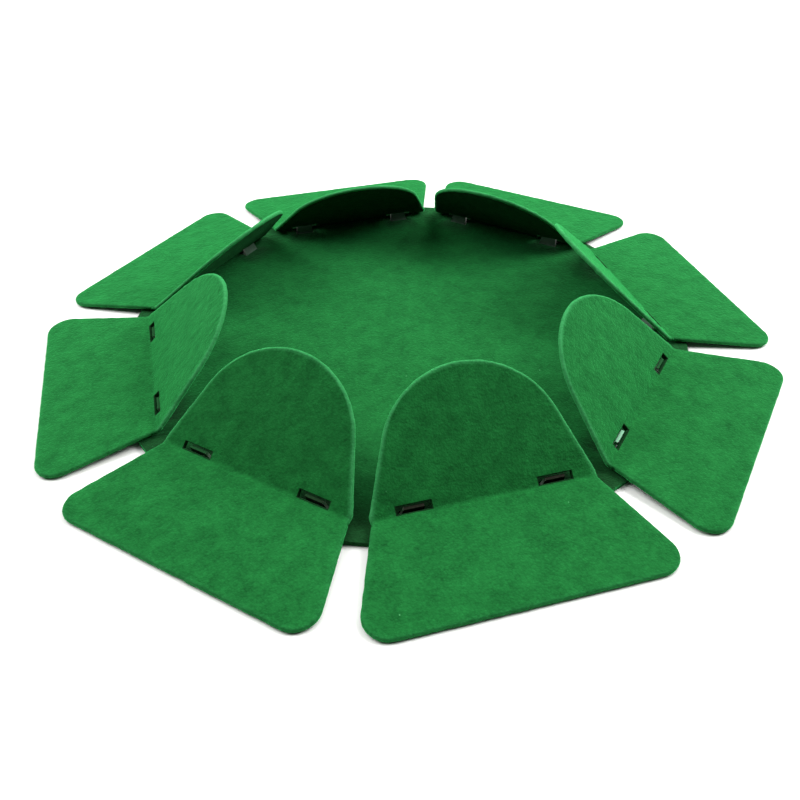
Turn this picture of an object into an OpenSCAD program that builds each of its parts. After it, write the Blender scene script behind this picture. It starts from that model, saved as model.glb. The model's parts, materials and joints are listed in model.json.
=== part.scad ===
// Round putting practice cup: a flat flocked disc with eight flocked flaps hung around it.
// A ball rolls up a ramp, its weight tips the flap's tongue, and it drops onto the disc.
// The frame is millimetres, +Z up, origin at the middle of the disc's underside.

/* [Overall] */
// Distance across the cup between opposite ramp edges
across_flats = 266.7; // [250:0.1:330]
// Distance from the middle of the cup to each flap's crease
crease_r = 94.1; // [76:0.1:114]
// How far the disc reaches out under the ramps, past the creases
base_overhang = 12.9; // [8:0.1:16]

/* [Sheet and flock] */
// Thickness of the steel sheet of the disc and the flaps
sheet_t = 1.0; // [0.8:0.05:1.2]
// Thickness of the flock coat on each face and edge
flock_t = 0.3; // [0.2:0.05:0.4]

/* [Flaps] */
// Length of a tongue from the crease to its round tip
tongue_len = 42.4; // [34:0.1:51]
// Angle of a resting tongue above the floor
tongue_rise = 45; // [36:1:54]
// Length of a flap's side that stays square beside the bend
crease_land = 0.4; // [0.3:0.05:0.6]
// Inside radius of the crease, on the steel
crease_bend_r = 2.3; // [1.5:0.1:3]
// Radius of a ramp's two outer corners
ramp_corner_r = 7.5; // [5:0.1:10]
// Gap between two neighbouring flaps at their creases
crease_gap = 5.7; // [4:0.1:8]
// Gap between two neighbouring ramps at their outer edges
edge_gap = 11.3; // [8:0.1:14]
// Gap between two neighbouring tongues when both lie flat
tongue_gap = 2.6; // [1.5:0.1:4]

/* [Hinge hooks] */
// Length of each slot along the crease
slot_len = 11; // [9:0.1:14]
// Distance from the flap's centre line to the outer end of each slot
slot_reach = 27.9; // [23:0.1:32]
// Steel left between a slot and the crease line
slot_setback = 0.5; // [0.4:0.05:0.6]
// Free space on each side of a hook in its slot
slot_clearance = 0.33; // [0.25:0.01:0.4]
// Width of a hook where it leaves the disc
hook_root_w = 7.6; // [6:0.1:8.6]
// Width of a hook at its tip
hook_tip_w = 6.4; // [5:0.1:7.6]
// Inside radius of a hook's bend
hook_bend_r = 0.7; // [0.5:0.05:1]
// How far a hook's tip stands above the resting flap, below zero when it stays inside the slot
hook_proud = -0.2; // [-0.4:0.05:1]
// Cut left around a hook by the tool that shears it from the disc
lance_cut = 0.2; // [0.15:0.05:0.4]

/* [Rest] */
// Free space between the disc's rim and the ramp above it
rim_clearance = 0.1; // [0.05:0.05:0.3]
// Free space under a tongue that lies flat on the disc
floor_clearance = 0.1; // [0.05:0.05:0.3]

/* [Hidden] */
// The cup has eight flaps, one at every 45 degrees
flap_count = 8;
flap_step = 360 / flap_count;
half_step = flap_step / 2;

flock_colour = [0.12, 0.50, 0.25];
underside_colour = [0.09, 0.38, 0.19];
steel_colour = [0.72, 0.73, 0.74];

// Thickness of a coated sheet, on the disc and on a flap
coated_t = sheet_t + 2 * flock_t;

// Disc
base_r = crease_r + base_overhang;
base_mid_z = coated_t / 2;
base_steel_r = base_r - flock_t;

// A ramp's outer edge lies on the floor and its underside passes just over the disc's rim
reach = across_flats / 2;
ramp_fall = atan((coated_t + rim_clearance) / (reach - base_r));
ramp_len = (reach - crease_r - coated_t / 2 * sin(ramp_fall)) / cos(ramp_fall);
crease_z = ramp_len * sin(ramp_fall) + coated_t / 2 * cos(ramp_fall);

// The tongue tips until it lies flat on the disc
tongue_drop = crease_z - coated_t - floor_clearance - coated_t / 2;
tip_travel = tongue_rise + asin(tongue_drop / tongue_len);

// Crease: the middle of the sheet follows an arc between the ramp and the tongue
crease_turn = tongue_rise - ramp_fall;
crease_mid_r = crease_bend_r + sheet_t / 2;
crease_start = crease_mid_r * tan(crease_turn / 2);
crease_lap = (crease_start + crease_land / 2) * cos(crease_turn) + coated_t / 2 * sin(crease_turn);
crease_half = crease_r * tan(half_step) - crease_gap / 2 / cos(half_step);
side_start = crease_start + crease_land;

// Ramp: a trapezoid with two rounded outer corners
edge_half = reach * tan(half_step) - edge_gap / 2 / cos(half_step);
ramp_flare = atan((edge_half - crease_half) / (ramp_len - side_start));
corner_u = ramp_len - ramp_corner_r;
corner_t = crease_half + ((corner_u - side_start) * sin(ramp_flare) - ramp_corner_r) / cos(ramp_flare);

// Tongue: two straight sides that run into one round tip
tip_r = ((crease_r - tongue_len) * sin(half_step) - tongue_gap / 2) / (1 - sin(half_step));
tip_v = tongue_len - tip_r;
side_turn = acos(tip_r / norm([crease_half, tip_v - side_start])) - atan((tip_v - side_start) / crease_half);

// Hook: halfway through the travel it stands square to the tongue
hook_lean = tongue_rise - tip_travel / 2;
lean_spread = tip_travel / 2;
slot_w = sheet_t / cos(lean_spread) + coated_t * tan(lean_spread) + 2 * slot_clearance;
slot_mid = slot_setback + slot_w / 2;
slot_mid_t = slot_reach - slot_len / 2;
// Point of the slot's path that the hook passes through, from the crease: distances outward and up
path_shift = slot_mid * (1 + cos(lean_spread)) / 2;
hook_at = [-path_shift * cos(hook_lean), path_shift * sin(hook_lean)];
hook_dir = [sin(hook_lean), cos(hook_lean)];
tongue_normal = [sin(tongue_rise), cos(tongue_rise)];
hook_above = (coated_t / 2 + hook_proud - hook_at * tongue_normal) / (hook_dir * tongue_normal);
hook_tip = hook_at + hook_above * hook_dir + [0, crease_z];
hook_mid_r = hook_bend_r + sheet_t / 2;
bend_z = base_mid_z + hook_mid_r;
bend_x = hook_at[0] + (bend_z - hook_mid_r * sin(hook_lean) - crease_z - hook_at[1]) * tan(hook_lean)
    - hook_mid_r * cos(hook_lean);
bend_turn = 90 - hook_lean;
bend_end = [bend_x, bend_z] + hook_mid_r * [cos(hook_lean), -sin(hook_lean)];
hook_len = norm(hook_tip - bend_end) + hook_mid_r * bend_turn * PI / 180;
// How far a hook's root runs on into the disc, so that the two are one piece
hook_bite = 1;

// Depth of a cut that passes right through a sheet
through = 4 * coated_t;
// Straight pieces in the crease, in a ramp's corner and in a tongue's tip
bend_steps = 12;
corner_steps = 18;
tip_steps = 48;

// Points of an arc about centre c, from angle a to angle b
function arc(c, r, a, b, steps = bend_steps) = [
    for (i = [0 : steps])
        let (turn = a + (b - a) * i / steps)
            c + r * [cos(turn), sin(turn)]
];

// The same points on the other side of the y axis, in reverse order
function mirrored(points) = [for (i = [len(points) - 1 : -1 : 0]) [-points[i][0], points[i][1]]];

// Ramp outline, drawn in by "inset": x runs along the crease, y runs outward.
// Its flared sides run on inward to the crease line, where the tongue's square shoulders cover them.
module ramp_outline(inset) {
    half = crease_half - inset;
    corner = arc([corner_t, corner_u], ramp_corner_r - inset, -ramp_flare, 90, corner_steps);
    slope = (corner[0][0] - half) / (corner[0][1] - side_start);
    right = concat([[half - side_start * slope, 0]], corner);
    polygon(concat(right, mirrored(right)));
}

// Tongue outline, drawn in by "inset": x runs along the crease, y runs inward.
// Its square shoulders run on outward past the bend.
module tongue_outline(inset) {
    half = crease_half - inset;
    tip = arc([0, tip_v], tip_r - inset, side_turn, 180 - side_turn, tip_steps);
    polygon(concat(
        [[-half, side_start], [-half, -crease_lap], [half, -crease_lap], [half, side_start]],
        tip
    ));
}

// Point of a flap's side view, "height" above the middle of its sheet
function on_ramp(u, height) = u * [cos(ramp_fall), -sin(ramp_fall)] + height * [sin(ramp_fall), cos(ramp_fall)];
function on_tongue(v, height) = v * [-cos(tongue_rise), sin(tongue_rise)] + height * tongue_normal;

// Side view of one layer of a flap: x runs outward from the crease, y up
module flap_side(low, high) {
    centre = on_ramp(crease_start, crease_mid_r);
    ramp_end = 270 - ramp_fall;
    tongue_end = 270 - tongue_rise;
    polygon(concat(
        [on_ramp(ramp_len + coated_t, high)],
        arc(centre, crease_mid_r - high, ramp_end, tongue_end),
        [on_tongue(tongue_len + coated_t, high), on_tongue(tongue_len + coated_t, low)],
        arc(centre, crease_mid_r - low, tongue_end, ramp_end),
        [on_ramp(ramp_len + coated_t, low)]
    ));
}

// One layer of a flap, between two heights above the middle of its sheet.
// Its origin is the crease: x runs outward, y along the crease, z up.
module flap_layer(inset, low, high) {
    intersection() {
        translate([0, edge_half, 0])
            rotate([90, 0, 0])
                linear_extrude(2 * edge_half)
                    flap_side(low, high);
        union() {
            rotate([0, ramp_fall, 0])
                rotate([0, 0, -90])
                    translate([0, 0, -through / 2])
                        linear_extrude(through)
                            ramp_outline(inset);
            rotate([0, tongue_rise, 0])
                rotate([0, 0, 90])
                    translate([0, 0, -through / 2])
                        linear_extrude(through)
                            tongue_outline(inset);
        }
    }
}

// The two slots that the hooks pass through
module flap_slots() {
    rotate([0, tongue_rise, 0])
        for (side = [-1, 1])
            translate([-slot_mid, side * slot_mid_t, 0])
                cube([slot_w, slot_len, through], center = true);
}

// Puts a flap's piece, drawn about its crease, in its place around the cup
module at_crease(k) {
    rotate([0, 0, (k - 1) * flap_step])
        translate([crease_r, 0, crease_z])
            children();
}

// Side view of a hook: x runs outward from the crease, y up from the floor
module hook_profile() {
    centre = [bend_x, bend_z];
    half = sheet_t / 2;
    side = half * [cos(hook_lean), -sin(hook_lean)];
    polygon(concat(
        [[bend_x - hook_bite, base_mid_z - half]],
        arc(centre, hook_mid_r + half, -90, -90 + bend_turn),
        [hook_tip + side, hook_tip - side],
        arc(centre, hook_mid_r - half, -90 + bend_turn, -90),
        [[bend_x - hook_bite, base_mid_z + half]]
    ));
}

// Front view of a hook, narrower towards its tip
module hook_front() {
    polygon([
        [-hook_root_w / 2, 0],
        [hook_root_w / 2, 0],
        [hook_root_w / 2, base_mid_z],
        [hook_tip_w / 2, hook_tip[1]],
        [-hook_tip_w / 2, hook_tip[1]],
        [-hook_root_w / 2, base_mid_z]
    ]);
}

// One hook, sheared from the disc, with its root on the side of the disc's centre, and bent up
module hook() {
    intersection() {
        translate([0, hook_root_w, 0])
            rotate([90, 0, 0])
                linear_extrude(2 * hook_root_w)
                    hook_profile();
        rotate([90, 0, 90])
            translate([0, 0, bend_x - hook_len])
                linear_extrude(2 * hook_len)
                    hook_front();
    }
}

// Window that a hook leaves in the disc, hidden under the ramp
module hook_window() {
    outer = bend_x + hook_len + lance_cut;
    translate([0, 0, -through / 2])
        linear_extrude(through)
            polygon([
                [bend_x, -hook_root_w / 2 - lance_cut],
                [outer, -hook_tip_w / 2 - lance_cut],
                [outer, hook_tip_w / 2 + lance_cut],
                [bend_x, hook_root_w / 2 + lance_cut]
            ]);
}

// Puts two copies of a hook's shape at every flap, in the middle of its slots
module at_hooks() {
    for (k = [1 : flap_count])
        rotate([0, 0, (k - 1) * flap_step])
            for (side = [-1, 1])
                translate([crease_r, side * slot_mid_t, 0])
                    children();
}

// Steel disc with its sixteen hooks
module base_plate() {
    color(steel_colour) {
        difference() {
            translate([0, 0, flock_t])
                cylinder(h = sheet_t, r = base_steel_r, $fn = 360);
            at_hooks() hook_window();
        }
        at_hooks() hook();
    }
}

// Flock coat on the top face and the rim of the disc
module base_flock_top() {
    color(flock_colour)
        difference() {
            cylinder(h = coated_t, r = base_r, $fn = 360);
            translate([0, 0, -coated_t])
                cylinder(h = 2 * coated_t - flock_t, r = base_steel_r, $fn = 360);
            at_hooks() hook_window();
        }
}

// Flock coat on the underside of the disc
module base_flock_under() {
    color(underside_colour)
        difference() {
            cylinder(h = flock_t, r = base_steel_r, $fn = 360);
            at_hooks() hook_window();
        }
}

// Bent steel sheet of one flap
module flap_plate(k) {
    color(steel_colour)
        at_crease(k)
            difference() {
                flap_layer(flock_t, -sheet_t / 2, sheet_t / 2);
                flap_slots();
            }
}

// Flock coat on the ramp, on the face of the tongue and around the flap's edges
module flap_flock_top(k) {
    color(flock_colour)
        at_crease(k)
            difference() {
                flap_layer(0, -coated_t / 2, coated_t / 2);
                flap_layer(flock_t, -coated_t, sheet_t / 2);
                flap_slots();
            }
}

// Flock coat on the underside of the flap
module flap_flock_under(k) {
    color(underside_colour)
        at_crease(k)
            difference() {
                flap_layer(flock_t, -coated_t / 2, -sheet_t / 2);
                flap_slots();
            }
}

base_plate();
base_flock_top();
base_flock_under();
for (k = [1 : flap_count]) {
    flap_plate(k);
    flap_flock_top(k);
    flap_flock_under(k);
}
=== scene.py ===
import json
import math

import bpy
import numpy as np
from mathutils import Euler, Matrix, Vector


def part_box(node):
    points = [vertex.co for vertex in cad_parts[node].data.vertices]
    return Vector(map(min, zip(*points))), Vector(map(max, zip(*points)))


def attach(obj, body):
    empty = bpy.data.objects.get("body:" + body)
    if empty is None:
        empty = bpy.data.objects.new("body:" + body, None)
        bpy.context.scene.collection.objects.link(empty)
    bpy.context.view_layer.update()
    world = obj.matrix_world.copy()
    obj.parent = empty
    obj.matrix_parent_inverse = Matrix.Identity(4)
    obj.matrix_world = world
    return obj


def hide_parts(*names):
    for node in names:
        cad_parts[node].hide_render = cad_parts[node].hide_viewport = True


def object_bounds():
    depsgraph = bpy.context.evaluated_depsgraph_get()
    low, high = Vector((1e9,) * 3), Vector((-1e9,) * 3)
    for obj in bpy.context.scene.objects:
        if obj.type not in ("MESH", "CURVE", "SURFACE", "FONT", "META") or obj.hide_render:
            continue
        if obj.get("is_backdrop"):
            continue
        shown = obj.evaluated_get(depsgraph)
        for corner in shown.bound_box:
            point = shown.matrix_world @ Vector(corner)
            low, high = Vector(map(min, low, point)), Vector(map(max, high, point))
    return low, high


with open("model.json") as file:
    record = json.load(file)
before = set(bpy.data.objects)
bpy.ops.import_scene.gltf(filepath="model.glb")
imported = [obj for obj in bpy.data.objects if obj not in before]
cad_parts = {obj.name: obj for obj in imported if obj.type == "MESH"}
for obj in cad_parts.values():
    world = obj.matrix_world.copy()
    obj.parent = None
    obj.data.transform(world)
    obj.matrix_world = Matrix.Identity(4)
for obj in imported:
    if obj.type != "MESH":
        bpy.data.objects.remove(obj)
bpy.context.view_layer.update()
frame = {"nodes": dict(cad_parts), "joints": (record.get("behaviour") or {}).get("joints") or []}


# --- Floor, light and camera -------------------------------------------------
# The cup lies on a pale matt floor. Soft square lights stand behind it, at its right and
# over it, so the ramps at the back are the brightest and the front tongues lie in shade.

def plain_material(name, colour, roughness):
    """A matt paint of one colour with a faint unevenness, for the floor."""
    material = bpy.data.materials.new(name)
    material.use_nodes = True
    nodes, links = material.node_tree.nodes, material.node_tree.links
    shader = nodes["Principled BSDF"]
    noise = nodes.new("ShaderNodeTexNoise")
    noise.inputs["Scale"].default_value = 3.0
    tint = nodes.new("ShaderNodeValToRGB")
    tint.color_ramp.elements[0].color = [0.97 * c for c in colour] + [1]
    tint.color_ramp.elements[1].color = list(colour) + [1]
    place = nodes.new("ShaderNodeTexCoord")
    links.new(place.outputs["Object"], noise.inputs["Vector"])
    links.new(noise.outputs["Fac"], tint.inputs["Fac"])
    links.new(tint.outputs["Color"], shader.inputs["Base Color"])
    shader.inputs["Roughness"].default_value = roughness
    shader.inputs["Specular IOR Level"].default_value = 0.2
    return material


floor_half = 4.0
floor_z = -0.0001
floor_mesh = bpy.data.meshes.new("floor")
floor_mesh.from_pydata(
    [(x * floor_half, y * floor_half, floor_z) for x, y in ((-1, -1), (1, -1), (1, 1), (-1, 1))],
    [], [(0, 1, 2, 3)])
floor = bpy.data.objects.new("floor", floor_mesh)
bpy.context.scene.collection.objects.link(floor)
floor_mesh.materials.append(plain_material("floor_white", (0.93, 0.925, 0.91), 0.9))
floor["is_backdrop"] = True

# The camera sees a plain white backdrop, while only a faint light comes from it
world = bpy.data.worlds.new("surround")
bpy.context.scene.world = world
world.use_nodes = True
world_nodes, world_links = world.node_tree.nodes, world.node_tree.links
fill = world_nodes["Background"]
fill.inputs["Color"].default_value = (1, 1, 1, 1)
fill.inputs["Strength"].default_value = 0.03
backdrop = world_nodes.new("ShaderNodeBackground")
backdrop.inputs["Strength"].default_value = 1.0
which_ray = world_nodes.new("ShaderNodeLightPath")
either = world_nodes.new("ShaderNodeMixShader")
world_links.new(which_ray.outputs["Is Camera Ray"], either.inputs["Fac"])
world_links.new(fill.outputs["Background"], either.inputs[1])
world_links.new(backdrop.outputs["Background"], either.inputs[2])
world_links.new(either.outputs["Shader"], world_nodes["World Output"].inputs["Surface"])


def soft_light(name, place, size, watts):
    """A square lamp of the given size that faces the middle of the cup."""
    lamp = bpy.data.lights.new(name, "AREA")
    lamp.size = size
    lamp.energy = watts
    holder = bpy.data.objects.new(name, lamp)
    holder.location = place
    holder.rotation_euler = (-Vector(place)).to_track_quat("-Z", "Y").to_euler()
    bpy.context.scene.collection.objects.link(holder)


soft_light("back_left_light", (-0.56, 0.38, 0.60), 0.75, 10.4)
soft_light("back_right_light", (0.55, 0.40, 0.60), 0.75, 6.6)
soft_light("right_light", (0.70, -0.05, 0.60), 0.5, 8.6)
soft_light("top_light", (0.0, 0.05, 0.90), 0.6, 2.2)

camera_data = bpy.data.cameras.new("camera")
camera_data.sensor_width = 36
camera_data.lens = 39.54
camera_data.shift_x = -0.0046
camera_data.shift_y = -0.085
camera = bpy.data.objects.new("camera", camera_data)
camera_target = Vector((0, 0, 0.0016))
camera_distance = 0.3397
camera_round = math.radians(-104.81)
camera_up = math.radians(34.63)
camera_roll = math.radians(-0.89)
camera_offset = Vector((
    math.cos(camera_up) * math.cos(camera_round),
    math.cos(camera_up) * math.sin(camera_round),
    math.sin(camera_up)))
camera.location = camera_target + camera_distance * camera_offset
aim = camera_offset.to_track_quat("Z", "Y").to_matrix() @ Euler((0, 0, camera_roll)).to_matrix()
camera.rotation_euler = aim.to_euler()
bpy.context.scene.collection.objects.link(camera)
bpy.context.scene.camera = camera
bpy.context.scene.view_settings.view_transform = "Standard"


# --- Flock -------------------------------------------------------------------
# Every face of the cup is coated with short green nylon fibres that stand in glue.
# They lean in patches, so the coat is mottled, and its pile catches light at a low angle.

def new_group(name, inputs, outputs):
    """A shader node group with the named sockets. Returns its tree, its input node and its output node."""
    tree = bpy.data.node_groups.new(name, "ShaderNodeTree")
    for socket, kind, value in inputs:
        made = tree.interface.new_socket(name=socket, in_out="INPUT", socket_type=kind)
        made.default_value = value
    for socket, kind in outputs:
        tree.interface.new_socket(name=socket, in_out="OUTPUT", socket_type=kind)
    return tree, tree.nodes.new("NodeGroupInput"), tree.nodes.new("NodeGroupOutput")


def add_math(tree, operation, *values):
    """A Math node whose inputs are numbers or other nodes' outputs."""
    node = tree.nodes.new("ShaderNodeMath")
    node.operation = operation
    for socket, value in zip(node.inputs, values):
        if isinstance(value, (int, float)):
            socket.default_value = value
        else:
            tree.links.new(value, socket)
    return node.outputs["Value"]


def add_vector_math(tree, operation, *values):
    """A Vector Math node whose inputs are triples or other nodes' outputs."""
    node = tree.nodes.new("ShaderNodeVectorMath")
    node.operation = operation
    for socket, value in zip(node.inputs, values):
        if isinstance(value, tuple):
            socket.default_value = value
        else:
            tree.links.new(value, socket)
    return node.outputs["Value" if operation in ("DOT_PRODUCT", "DISTANCE") else "Vector"]


def add_noise(tree, place, scale, detail, roughness):
    """Smooth noise, from 0 to 1, with the given number of features to a metre."""
    node = tree.nodes.new("ShaderNodeTexNoise")
    node.inputs["Scale"].default_value = scale
    node.inputs["Detail"].default_value = detail
    node.inputs["Roughness"].default_value = roughness
    tree.links.new(place, node.inputs["Vector"])
    return node.outputs["Fac"]


def add_range(tree, value, low, high, to_low, to_high):
    """Carries a value from one range to another and holds it inside the second."""
    node = tree.nodes.new("ShaderNodeMapRange")
    for socket, number in zip(("From Min", "From Max", "To Min", "To Max"), (low, high, to_low, to_high)):
        node.inputs[socket].default_value = number
    tree.links.new(value, node.inputs["Value"])
    return node.outputs["Result"]


def add_mix(tree, share, first, second):
    """Mixes two colours, each an RGB triple or another node's output."""
    node = tree.nodes.new("ShaderNodeMix")
    node.data_type = "RGBA"
    node.clamp_factor = False
    for socket, value in ((0, share), (6, first), (7, second)):
        if isinstance(value, float):
            node.inputs[socket].default_value = value
        elif isinstance(value, tuple):
            node.inputs[socket].default_value = (*value, 1)
        else:
            tree.links.new(value, node.inputs[socket])
    return node.outputs[2]


flock_group, flock_in, flock_out = new_group(
    "flock pile",
    [("Fibre", "NodeSocketColor", (0.02, 0.2, 0.05, 1)),
     ("Edge", "NodeSocketFloat", 0.0),
     ("Raised fibre", "NodeSocketColor", (0.06, 0.3, 0.1, 1)),
     ("Rim highlight", "NodeSocketColor", (0.05, 0.26, 0.1, 1)),
     ("Lint", "NodeSocketFloat", 1.0)],
    [("Color", "NodeSocketColor"), ("Roughness", "NodeSocketFloat"), ("Height", "NodeSocketFloat")])
flock_place = flock_group.nodes.new("ShaderNodeTexCoord").outputs["Object"]
patches = add_noise(flock_group, flock_place, 170, 3, 0.6)
tufts = add_noise(flock_group, flock_place, 760, 2, 0.6)
fibres = add_noise(flock_group, flock_place, 2200, 2, 0.75)
clumps = flock_group.nodes.new("ShaderNodeTexVoronoi")
clumps.inputs["Scale"].default_value = 1300
flock_group.links.new(flock_place, clumps.inputs["Vector"])

# The height of the pile, from 0 to 1, is the sum of the four, each with its own share
pile = add_math(flock_group, "MULTIPLY", add_range(flock_group, tufts, 0.3, 0.7, 0, 1), 0.24)
for layer, layer_share in ((add_range(flock_group, patches, 0.3, 0.7, 0, 1), 0.40),
                           (add_range(flock_group, clumps.outputs["Distance"], 0.1, 0.8, 1, 0), 0.20),
                           (add_range(flock_group, fibres, 0.3, 0.7, 0, 1), 0.16)):
    pile = add_math(flock_group, "MULTIPLY_ADD", layer, layer_share, pile)
dyed = add_mix(flock_group, pile, flock_in.outputs["Fibre"], flock_in.outputs["Raised fibre"])
# Painted highlight: where the "edge" attribute is set, the colour is mixed towards a lighter one, standing in
# for light caught along the rims
rim_highlight_share = add_math(flock_group, "MULTIPLY", flock_in.outputs["Edge"],
                        add_range(flock_group, pile, 0.25, 0.75, 0.55, 1.1))
dyed = add_mix(flock_group, rim_highlight_share, dyed, flock_in.outputs["Rim highlight"])

# Stray fibres: a few pale dots a third of a millimetre across, and only in some of the cells
specks = flock_group.nodes.new("ShaderNodeTexVoronoi")
specks.inputs["Scale"].default_value = 170
flock_group.links.new(flock_place, specks.inputs["Vector"])
chosen = flock_group.nodes.new("ShaderNodeSeparateColor")
flock_group.links.new(specks.outputs["Color"], chosen.inputs["Color"])
speck = add_math(flock_group, "MULTIPLY",
                 add_range(flock_group, specks.outputs["Distance"], 0.02, 0.05, 1, 0),
                 add_range(flock_group, chosen.outputs["Red"], 0.88, 0.90, 0, 1))
speck = add_math(flock_group, "MULTIPLY", speck, flock_in.outputs["Lint"])
flock_group.links.new(add_mix(flock_group, speck, dyed, (0.08, 0.34, 0.13)), flock_out.inputs["Color"])
flock_group.links.new(add_range(flock_group, pile, 0.2, 0.8, 1.0, 0.86), flock_out.inputs["Roughness"])
flock_group.links.new(pile, flock_out.inputs["Height"])


def flock_material(name, fibre, raised, lint, relief, sheen):
    """Flock of one colour. "relief" is how far, in metres, the pile rises between its hollows, and the
    mesh attribute "edge" says how much painted highlight lightens the rims, standing in for light caught by
    the fibres there."""
    material = bpy.data.materials.new(name)
    material.use_nodes = True
    tree = material.node_tree
    shader = tree.nodes["Principled BSDF"]
    coat = tree.nodes.new("ShaderNodeGroup")
    coat.node_tree = flock_group
    coat.inputs["Fibre"].default_value = (*fibre, 1)
    coat.inputs["Raised fibre"].default_value = (*raised, 1)
    # The lighter colour of the painted highlight along the rims
    coat.inputs["Rim highlight"].default_value = (0.036, 0.25, 0.078, 1)
    coat.inputs["Lint"].default_value = lint
    bump = tree.nodes.new("ShaderNodeBump")
    bump.inputs["Distance"].default_value = relief
    rim = tree.nodes.new("ShaderNodeAttribute")
    rim.attribute_name = "edge"
    tree.links.new(rim.outputs["Fac"], coat.inputs["Edge"])
    tree.links.new(coat.outputs["Height"], bump.inputs["Height"])
    tree.links.new(coat.outputs["Color"], shader.inputs["Base Color"])
    tree.links.new(coat.outputs["Roughness"], shader.inputs["Roughness"])
    tree.links.new(bump.outputs["Normal"], shader.inputs["Normal"])
    shader.inputs["Specular IOR Level"].default_value = 0.08
    shader.inputs["Sheen Weight"].default_value = sheen
    shader.inputs["Sheen Roughness"].default_value = 0.4
    shader.inputs["Sheen Tint"].default_value = (0.09, 1.0, 0.26, 1)
    return material


upper_flock = flock_material(
    "upper_flock", (0.0030, 0.052, 0.0105), (0.0105, 0.165, 0.032), lint=1.0, relief=0.0003, sheen=0.8)
# The undersides' coat is the same flock painted much darker and greyer: painted shade for faces that lie in
# shade
painted_shade_flock = flock_material(
    "painted_shade_flock", (0.0080, 0.021, 0.0100), (0.0170, 0.050, 0.0220), lint=0.4, relief=0.0003, sheen=0.1)


# --- Disc's steel and hooks --------------------------------------------------
# The disc is mild steel sheet. Sixteen hooks are sheared out of it near its rim and bent up through
# the flaps' slots, and only they show its steel, under a thin coat of flock with shade painted into it on the
# hooks at the front.

def steel_material(name, light, dark):
    """Bare sheared steel: bright metal with fine drag lines across the cut."""
    material = bpy.data.materials.new(name)
    material.use_nodes = True
    tree = material.node_tree
    shader = tree.nodes["Principled BSDF"]
    place = tree.nodes.new("ShaderNodeTexCoord").outputs["Object"]
    lines = add_noise(tree, place, 3200, 3, 0.6)
    clouds = add_range(tree, add_noise(tree, place, 420, 2, 0.5), 0.3, 0.7, 0, 1)
    tree.links.new(add_mix(tree, clouds, dark, light), shader.inputs["Base Color"])
    tree.links.new(add_range(tree, lines, 0.3, 0.7, 0.28, 0.5), shader.inputs["Roughness"])
    bump = tree.nodes.new("ShaderNodeBump")
    bump.inputs["Distance"].default_value = 0.00004
    tree.links.new(lines, bump.inputs["Height"])
    tree.links.new(bump.outputs["Normal"], shader.inputs["Normal"])
    shader.inputs["Metallic"].default_value = 0.9
    return material


def hook_material(name, rubbed_hook):
    """Steel under a thin coat. It is bare on the hooks' sheared sides, which face neither outward nor up,
    and rubbed pale on the one hook at the given place."""
    material = steel_material(name, (0.62, 0.64, 0.60), (0.36, 0.38, 0.34))
    tree = material.node_tree
    shader = tree.nodes["Principled BSDF"]
    metal = shader.inputs["Base Color"].links[0].from_socket
    coords = tree.nodes.new("ShaderNodeTexCoord")
    place, normal = coords.outputs["Object"], coords.outputs["Normal"]

    outward = add_vector_math(tree, "NORMALIZE", add_vector_math(tree, "MULTIPLY", place, (1, 1, 0)))
    facing_out = add_vector_math(tree, "DOT_PRODUCT", normal, outward)
    facing_up = add_vector_math(tree, "DOT_PRODUCT", normal, (0, 0, 1))
    sheared = add_math(tree, "MULTIPLY",
                       add_range(tree, add_math(tree, "ABSOLUTE", facing_out), 0.45, 0.55, 1, 0),
                       add_range(tree, add_math(tree, "ABSOLUTE", facing_up), 0.45, 0.55, 1, 0))
    spots = add_range(tree, add_noise(tree, place, 900, 2, 0.6), 0.36, 0.44, 0, 1)
    from_rubbed = add_vector_math(tree, "DISTANCE", place, rubbed_hook)
    rubbed = add_math(tree, "MULTIPLY", add_range(tree, from_rubbed, 0.0065, 0.0075, 1, 0), spots)
    metal = add_mix(tree, rubbed, metal, (0.20, 0.44, 0.28))

    # The hooks at the front, which lie in shade, are painted dark brown as painted shade, grading to green
    # flock further back, and their faces towards the middle of the disc are painted paler, standing in for
    # the light they catch from the lit disc
    mottle = add_noise(tree, place, 1500, 2, 0.6)
    front_hook_shade = add_mix(tree, mottle, (0.005, 0.006, 0.003), (0.018, 0.020, 0.012))
    fibres_on_hook = add_mix(tree, mottle, (0.004, 0.045, 0.011), (0.012, 0.100, 0.026))
    split = tree.nodes.new("ShaderNodeSeparateXYZ")
    tree.links.new(place, split.inputs["Vector"])
    coat = add_mix(tree, add_range(tree, split.outputs["Y"], -0.090, -0.072, 0, 0.9), front_hook_shade, fibres_on_hook)
    coat = add_mix(tree, add_range(tree, facing_out, -0.6, -0.4, 1, 0), coat, (0.10, 0.17, 0.12))

    bare = add_math(tree, "MAXIMUM", sheared, rubbed)
    tree.links.new(add_mix(tree, bare, coat, metal), shader.inputs["Base Color"])
    tree.links.new(add_math(tree, "MULTIPLY", sheared, 0.8), shader.inputs["Metallic"])
    tree.links.new(add_range(tree, sheared, 0, 1, 0.95, 0.38), shader.inputs["Roughness"])
    shader.inputs["Specular IOR Level"].default_value = 0.15
    return material


frame["nodes"]["base_plate"].material_slots[0].material = hook_material(
    "hook_steel", rubbed_hook=(0.0507, -0.0824, 0.005))


# --- Disc's coats ------------------------------------------------------------
# The disc lies on the floor with its underside, its top and its rim flocked. Round the hooks and towards the
# rim, where the tongues overhang it, shade is painted into its colour.

mm = 0.001
base_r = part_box("base_flock_top")[1].x
hook_along = 22.4 * mm
# The disc's coat is the flaps' coat painted a tenth darker: painted shade for the disc lying low between the
# tongues
disc_flock_shaded = flock_material(
    "disc_flock_shaded", (0.0027, 0.047, 0.0095), (0.0095, 0.149, 0.029), lint=1.0, relief=0.0003, sheen=0.72)


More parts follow.
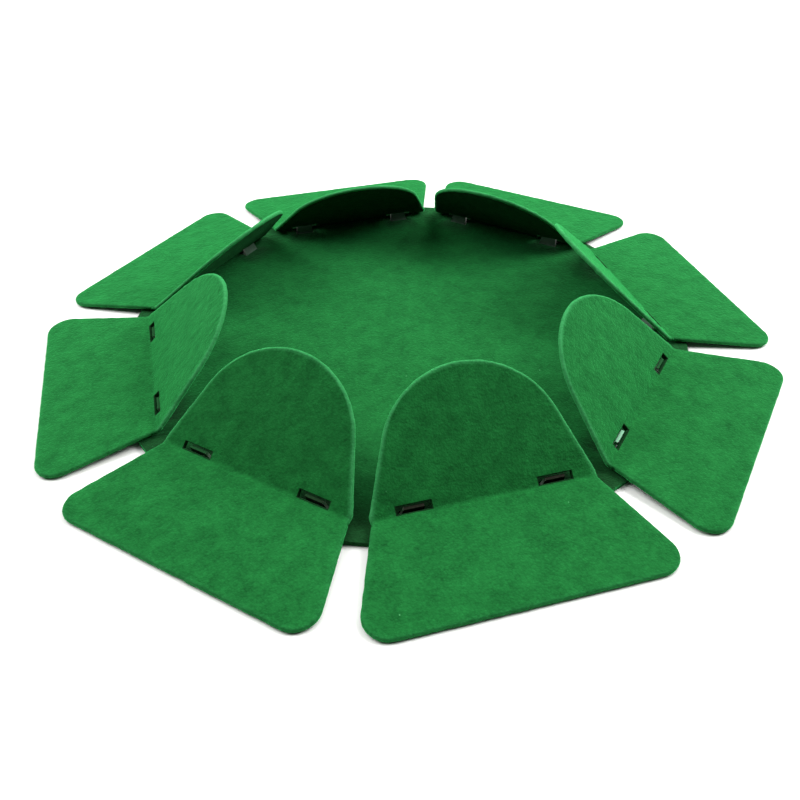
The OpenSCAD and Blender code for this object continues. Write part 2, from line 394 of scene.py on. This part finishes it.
def paint_shade_on_disc(material):
    """Paints shade into the flock's colour round the hooks and towards the rim, under the tongues. The
    direction round the disc is folded into one flap's sector, which gives each point's distance along that
    flap's crease and out from the middle."""
    tree = material.node_tree
    shader = tree.nodes["Principled BSDF"]
    pile_colour = shader.inputs["Base Color"].links[0].from_socket
    split = tree.nodes.new("ShaderNodeSeparateXYZ")
    tree.links.new(tree.nodes.new("ShaderNodeTexCoord").outputs["Object"], split.inputs["Vector"])
    x, y = split.outputs["X"], split.outputs["Y"]
    radius = add_math(tree, "SQRT", add_math(tree, "MULTIPLY_ADD", x, x, add_math(tree, "MULTIPLY", y, y)))
    folded = add_math(tree, "WRAP", add_math(tree, "ARCTAN2", y, x), math.pi / 8, -math.pi / 8)
    across = add_math(tree, "MULTIPLY", radius, add_math(tree, "ABSOLUTE", add_math(tree, "SINE", folded)))
    outward = add_math(tree, "MULTIPLY", radius, add_math(tree, "COSINE", folded))
    from_hook = add_math(tree, "ABSOLUTE", add_math(tree, "SUBTRACT", across, hook_along))
    shade_round_hooks = add_math(tree, "MULTIPLY", add_range(tree, from_hook, 5.5 * mm, 9.5 * mm, 0.9, 0),
                           add_range(tree, outward, 80 * mm, 88 * mm, 0, 1))
    shade_near_rim = add_range(tree, radius, 88 * mm, 100 * mm, 0, 0.7)
    painted_shade = add_math(tree, "MAXIMUM", shade_round_hooks, shade_near_rim)
    tree.links.new(add_mix(tree, painted_shade, pile_colour, (0.004, 0.008, 0.004)), shader.inputs["Base Color"])


paint_shade_on_disc(disc_flock_shaded)
frame["nodes"]["base_flock_top"].material_slots[0].material = disc_flock_shaded
frame["nodes"]["base_flock_under"].material_slots[0].material = painted_shade_flock


# --- Flaps -------------------------------------------------------------------
# Eight bent blanks of the same sheet hang round the disc, each a broad ramp that lies
# on the floor and a round-ended tongue that stands up until a ball presses it down.

flap_joints = [j for j in frame["joints"] if j["child"].startswith("flap_")]
flap_count = len(flap_joints)
half_step = math.pi / flap_count
crease_r = math.hypot(*flap_joints[0]["pos_m"][:2])
crease_z = flap_joints[0]["pos_m"][2]
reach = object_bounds()[1].x

coated_t = 1.6 * mm
half_t = coated_t / 2
sheet_t = 1.0 * mm
tongue_len = 42.4 * mm
tongue_rise = math.radians(45)
crease_land = 0.4 * mm
crease_bend_r = 2.3 * mm
ramp_corner_r = 7.5 * mm
crease_gap = 5.7 * mm
edge_gap = 11.3 * mm
tongue_gap = 2.6 * mm
rim_clearance = 0.1 * mm

ramp_fall = math.atan((coated_t + rim_clearance) / (reach - base_r))
ramp_len = (reach - crease_r - half_t * math.sin(ramp_fall)) / math.cos(ramp_fall)
bend_r = crease_bend_r + sheet_t / 2
bend_turn = tongue_rise - ramp_fall
bend_len = bend_r * bend_turn
bend_start = bend_r * math.tan(bend_turn / 2)
side_start = bend_start + crease_land
crease_half = crease_r * math.tan(half_step) - crease_gap / 2 / math.cos(half_step)
edge_half = reach * math.tan(half_step) - edge_gap / 2 / math.cos(half_step)
ramp_flare = math.atan((edge_half - crease_half) / (ramp_len - side_start))
corner_u = ramp_len - ramp_corner_r
corner_x = (crease_half + ((corner_u - side_start) * math.sin(ramp_flare) - ramp_corner_r)
            / math.cos(ramp_flare))
tip_r = ((crease_r - tongue_len) * math.sin(half_step) - tongue_gap / 2) / (1 - math.sin(half_step))
tip_v = tongue_len - tip_r
side_turn = (math.acos(tip_r / math.hypot(crease_half, tip_v - side_start))
             - math.atan((tip_v - side_start) / crease_half))

# The two slots that the disc's hooks pass through, measured along and up the tongue
slot_reach = 27.9 * mm
slot_len = 11.0 * mm
slot_setback = 0.5 * mm
slot_w = 2.428 * mm
slot_lip = 0.30 * mm
slot_lining = 0.05 * mm
slot_ease = slot_lip - slot_lining


def ramp_y(u):
    """Place on the flat pattern of a point at distance u down the ramp from the crease line."""
    return bend_start - bend_len / 2 - u


def tongue_y(v, h):
    """Place on the flat pattern of a point at distance v up the tongue from the crease line. Inside the
    bend it is the arc whose sine is the distance short of the bend's end over the radius at height h."""
    short = np.arcsin(np.clip((bend_start - v) / (bend_r - h), 0, 1))
    return bend_len / 2 + np.maximum(v - bend_start, 0) - bend_r * short


def tongue_v(y, h):
    """The other way round: distance up the tongue of a point of the flat pattern at height h."""
    turned = np.maximum(bend_len / 2 - y, 0) / bend_r
    return bend_start + np.maximum(y - bend_len / 2, 0) - (bend_r - h) * np.sin(turned)


def bent(flat, h, turn):
    """Bends the flat pattern into the flap and sets it at its place round the cup. The sheet follows the
    straight ramp, an arc about the bend's centre and the straight tongue, and h is measured square to it."""
    x, y = flat[..., 0], flat[..., 1]
    lean = ramp_fall + np.clip(y / bend_len + 0.5, 0, 1) * bend_turn
    down = np.maximum(-bend_len / 2 - y, 0)
    up = np.maximum(y - bend_len / 2, 0)
    centre_out = bend_start * math.cos(ramp_fall) + bend_r * math.sin(ramp_fall)
    centre_up = -bend_start * math.sin(ramp_fall) + bend_r * math.cos(ramp_fall)
    out = (crease_r + centre_out - (bend_r - h) * np.sin(lean)
           + down * math.cos(ramp_fall) - up * math.cos(tongue_rise))
    high = (crease_z + centre_up - (bend_r - h) * np.cos(lean)
            - down * math.sin(ramp_fall) + up * math.sin(tongue_rise))
    return np.stack([out * math.cos(turn) - x * math.sin(turn),
                     out * math.sin(turn) + x * math.cos(turn), high], axis=-1)


def along(path, shares):
    """Points of a polyline at the given shares of its length."""
    steps = np.hypot(*np.diff(path, axis=0).T)
    length = np.concatenate([[0], np.cumsum(steps)])
    return np.stack([np.interp(shares * length[-1], length, path[:, i]) for i in (0, 1)], axis=-1)


def circle_part(centre, radius, start, end, steps):
    """Points of a circle from one angle to another."""
    angle = np.linspace(start, end, steps)
    return np.stack([centre[0] + radius * np.cos(angle), centre[1] + radius * np.sin(angle)], axis=-1)


def patch(near_row, side, far_edge, rows):
    """A four-sided patch with straight near row, mirrored sides and curved far edge, filled in by the
    Coons rule: the near and far edges blended by the share of the way along the sides, plus the two
    sides blended across, less the four corners blended both ways."""
    across = (near_row[:, 0] - near_row[0, 0]) / (near_row[-1, 0] - near_row[0, 0])
    up = np.linspace(0, 1, rows)
    right = along(side, up)
    left = right * [-1, 1]
    far = along(far_edge, across)
    c, s = across[None, :, None], up[:, None, None]
    edges = (1 - s) * near_row[None] + s * far[None]
    sides = (1 - c) * left[:, None] + c * right[:, None]
    corners = ((1 - s) * ((1 - c) * left[0] + c * right[0])
               + s * ((1 - c) * left[-1] + c * right[-1]))
    return edges + sides - corners


# Columns of the flap's grid: cells on each side of the slots, across them, and between them
outer_cells, slot_cells, middle_cells = 6, 9, 26
column_count = 2 * (outer_cells + slot_cells) + middle_cells + 1
left_slot = slice(outer_cells, outer_cells + slot_cells)
right_slot = slice(column_count - 1 - left_slot.stop, column_count - 1 - left_slot.start)
ramp_rows, bend_rows, slot_rows, tongue_rows = 32, 8, 8, 34
low_row = ramp_rows - 1 + bend_rows
high_row = low_row + slot_rows

# Points on a ramp's corner and on half of a tongue's tip, and the one in each where its patch's side ends
corner_points, corner_split = 19, 9
tip_points, tip_split = 49, 18


def split_outline(start, curve, split):
    """Cuts the right half of an outline into a patch's side, up to one of the curve's points, and its far
    edge, which runs on across the middle as the rest of the curve and its mirror image."""
    far_right, far_left = curve[split:], curve[:split - 1:-1] * [-1, 1]
    return np.concatenate([start, curve[:split + 1]]), np.concatenate([far_right, far_left])[::-1]


def flap_grid(inset, h):
    """The flap's flat pattern as a grid of rows across it, from the ramp's edge to the tongue's tip.
    Rows beside the slots are straight and meet the slots' rims, at height h above the middle of the sheet;
    the ramp and the tongue beyond them are patches that run out to their rounded outlines."""
    half = crease_half - inset
    first_y = ramp_y(side_start)
    near_y = tongue_y(slot_setback - slot_ease, h)
    far_v = slot_setback + slot_w + slot_ease
    far_y = tongue_y(far_v, h)
    row_y = np.concatenate([np.linspace(first_y, near_y, bend_rows + 1),
                            np.linspace(near_y, far_y, slot_rows + 1)[1:]])
    narrowing = np.maximum(tongue_v(row_y, h) - side_start, 0) * math.tan(side_turn)
    wide = half - narrowing
    inner_x, outer_x = slot_reach - slot_len - slot_ease, slot_reach + slot_ease
    knots = np.cumsum([0, outer_cells, slot_cells, middle_cells, slot_cells, outer_cells])
    columns = np.arange(column_count)
    band = np.stack([
        np.stack([np.interp(columns, knots, [-w, -outer_x, -inner_x, inner_x, outer_x, w]),
                  np.full(column_count, y)], axis=-1)
        for w, y in zip(wide, row_y)])

    corner = circle_part((corner_x, corner_u), ramp_corner_r - inset, -ramp_flare, math.pi / 2, corner_points)
    corner[:, 1] = ramp_y(corner[:, 1])
    ramp = patch(band[0], *split_outline(band[0, -1:], corner, corner_split), ramp_rows)
    tip = circle_part((0, tongue_y(tip_v, h)), tip_r - inset, side_turn, math.pi / 2, tip_points)
    tongue = patch(band[-1], *split_outline(band[-1, -1:], tip, tip_split), tongue_rows)
    return np.concatenate([ramp[:0:-1], band, tongue[1:]])


def grid_faces(indices):
    """Quads between neighbouring points of a grid of vertex numbers, seen anticlockwise from above."""
    return np.stack([indices[:-1, :-1], indices[:-1, 1:], indices[1:, 1:], indices[1:, :-1]],
                    axis=-1).reshape(-1, 4)


def sheet_faces(numbers):
    """The quads of a flap's numbered grid, without the cells over its two slots."""
    sheet = np.ones((len(numbers) - 1, column_count - 1), bool)
    sheet[low_row:high_row, left_slot] = False
    sheet[low_row:high_row, right_slot] = False
    return grid_faces(numbers)[sheet.reshape(-1)]


def band_faces(loops):
    """Quads between neighbouring closed loops of vertex numbers, each loop below the one before."""
    after = np.roll(loops, -1, axis=1)
    return np.stack([loops[:-1], loops[1:], after[1:], after[:-1]], axis=-1).reshape(-1, 4)


def border(indices):
    """The vertex numbers round a grid's outside, anticlockwise."""
    return np.concatenate([indices[0, :-1], indices[:-1, -1], indices[-1, :0:-1], indices[:0:-1, 0]])


relief_waves = 40
relief_rng = np.random.default_rng(11)
wave_height = 0.008 * mm
wave_length = relief_rng.uniform(2.2 * mm, 7 * mm, relief_waves)
wave_angle = relief_rng.uniform(0, 2 * math.pi, relief_waves)
wave_phase = relief_rng.uniform(0, 2 * math.pi, (flap_count, relief_waves))


def pile_relief(flat, flap):
    """How much the pile stands up or lies down: the sum of many sine waves, each with its own length and
    direction, and with its own phase on every flap."""
    wave = 2 * math.pi / wave_length
    run = (flat[..., 0, None] * np.cos(wave_angle) + flat[..., 1, None] * np.sin(wave_angle)) * wave
    return wave_height * np.sin(run + wave_phase[flap]).sum(axis=-1)


# The punched slots' walls are painted near black: painted shade for the slots' depths
slot_shade = flock_material(
    "slot_shade", (0.0015, 0.011, 0.003), (0.004, 0.040, 0.009), lint=0.0, relief=0.0002, sheen=0.1)


def new_piece(name, points, faces, edge, lining, material):
    """A smooth mesh object at the origin from arrays of points and quads, with the "edge" attribute's value
    at every point. Its last faces, as many as "lining" says, line the slots."""
    mesh = bpy.data.meshes.new(name)
    mesh.from_pydata(points.reshape(-1, 3).tolist(), [], faces.tolist())
    mesh.materials.append(material)
    mesh.materials.append(slot_shade)
    in_slot = np.arange(len(faces)) >= len(faces) - lining
    mesh.polygons.foreach_set("material_index", in_slot.astype(np.int32))
    mesh.attributes.new("edge", "FLOAT", "POINT").data.foreach_set("value", edge.astype(np.float32))
    mesh.shade_smooth()
    piece = bpy.data.objects.new(name, mesh)
    bpy.context.scene.collection.objects.link(piece)
    return piece


rim_steps = 8
lip_steps = 4
# Shares of the painted highlight along the rims of the tongue and of the ramp
tongue_rim_highlight, ramp_rim_highlight = 1.0, 0.18
flock_wall = 0.28 * mm


def upper_flock_mesh(flap, turn):
    """Upper coat of a flap: the top face, a half-round rim carried round its outline, and a lining
    with quarter-round lips carried round each slot."""
    flat = flap_grid(half_t, half_t)
    numbers = np.arange(flat[..., 0].size).reshape(flat.shape[:2])
    relief = pile_relief(flat, flap)
    points = [bent(flat, half_t + relief, turn).reshape(-1, 3)]
    faces = [sheet_faces(numbers)]

    ring = border(numbers)
    path = flat.reshape(-1, 2)[ring]
    run = np.roll(path, -1, axis=0) - np.roll(path, 1, axis=0)
    outward = np.stack([run[:, 1], -run[:, 0]], axis=-1) / np.hypot(*run.T)[:, None]
    radius = half_t + relief.reshape(-1)[ring]
    count = numbers.size
    loops = [ring]
    for angle in np.linspace(0, math.pi, rim_steps + 1)[1:]:
        rim_path = path + outward * radius[:, None] * math.sin(angle)
        points.append(bent(rim_path, radius * math.cos(angle), turn))
        loops.append(count + np.arange(len(ring)))
        count += len(ring)
    faces.append(band_faces(np.array(loops)))

    lip = np.linspace(0, math.pi / 2, lip_steps + 1)
    ways_in = slot_lip * np.sin(np.concatenate([lip[1:], lip[::-1]]))
    lip_drop = slot_lip * (1 - np.cos(lip))
    heights = np.concatenate([half_t - lip_drop[1:], lip_drop[::-1] - half_t])
    for slot in (left_slot, right_slot):
        ring = border(numbers[low_row:high_row + 1, slot.start:slot.stop + 1])[::-1]
        path = flat.reshape(-1, 2)[ring]
        x, v = path[:, 0], tongue_v(path[:, 1], half_t)
        lift = relief.reshape(-1)[ring] / half_t
        loops = [ring]
        for inward, h in zip(ways_in, heights):
            walled_x = np.clip(x, x.min() + inward, x.max() - inward)
            walled_v = np.clip(v, v.min() + inward, v.max() - inward)
            points.append(bent(np.stack([walled_x, tongue_y(walled_v, h)], axis=-1), h * (1 + lift), turn))
            loops.append(count + np.arange(len(ring)))
            count += len(ring)
        faces.append(band_faces(np.array(loops)))

    # Painted highlight along the rim: strong on the tongue, faint on the ramp, and fading away towards the
    # underside, where shade falls
    ring = border(numbers)
    on_tongue = np.clip(flat.reshape(-1, 2)[ring, 1] / bend_len + 0.5, 0, 1)
    ring_highlight = ramp_rim_highlight + (tongue_rim_highlight - ramp_rim_highlight) * on_tongue
    edge = np.zeros(count)
    edge[ring] = 0.5 * ring_highlight
    fade = np.clip(2.1 - 2 * np.arange(1, rim_steps + 1) / rim_steps, 0, 1)
    edge[numbers.size:numbers.size + rim_steps * len(ring)] = (fade[:, None] * ring_highlight).reshape(-1)
    lining = sum(len(part) for part in faces[2:])
    return np.concatenate(points), np.concatenate(faces), edge, lining


def lower_flock_mesh(flap, turn):
    """Lower coat of a flap: the underside's face with its two slots, seen from below."""
    flat = flap_grid(half_t, -half_t)
    numbers = np.arange(flat[..., 0].size).reshape(flat.shape[:2])
    points = bent(flat, -half_t - pile_relief(flat, flap), turn).reshape(-1, 3)
    return points, sheet_faces(numbers)[:, ::-1], np.zeros(numbers.size), 0


flap_coats = (("upper", "flock_top", upper_flock_mesh, upper_flock),
              ("lower", "flock_under", lower_flock_mesh, painted_shade_flock))
flap_steel = steel_material("sheared_steel", (0.66, 0.67, 0.64), (0.42, 0.44, 0.41))
for index, joint in enumerate(flap_joints):
    body = joint["child"]
    turn = math.atan2(joint["pos_m"][1], joint["pos_m"][0])
    for side, coat_slot, make, material in flap_coats:
        piece = new_piece(f"{body}_{side}_flock", *make(index, turn), material)
        wall = piece.modifiers.new("flock", "SOLIDIFY")
        wall.thickness = flock_wall
        wall.offset = -1
        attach(piece, body)
        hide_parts(f"{body}_{coat_slot}")
    frame["nodes"][f"{body}_plate"].material_slots[0].material = flap_steel
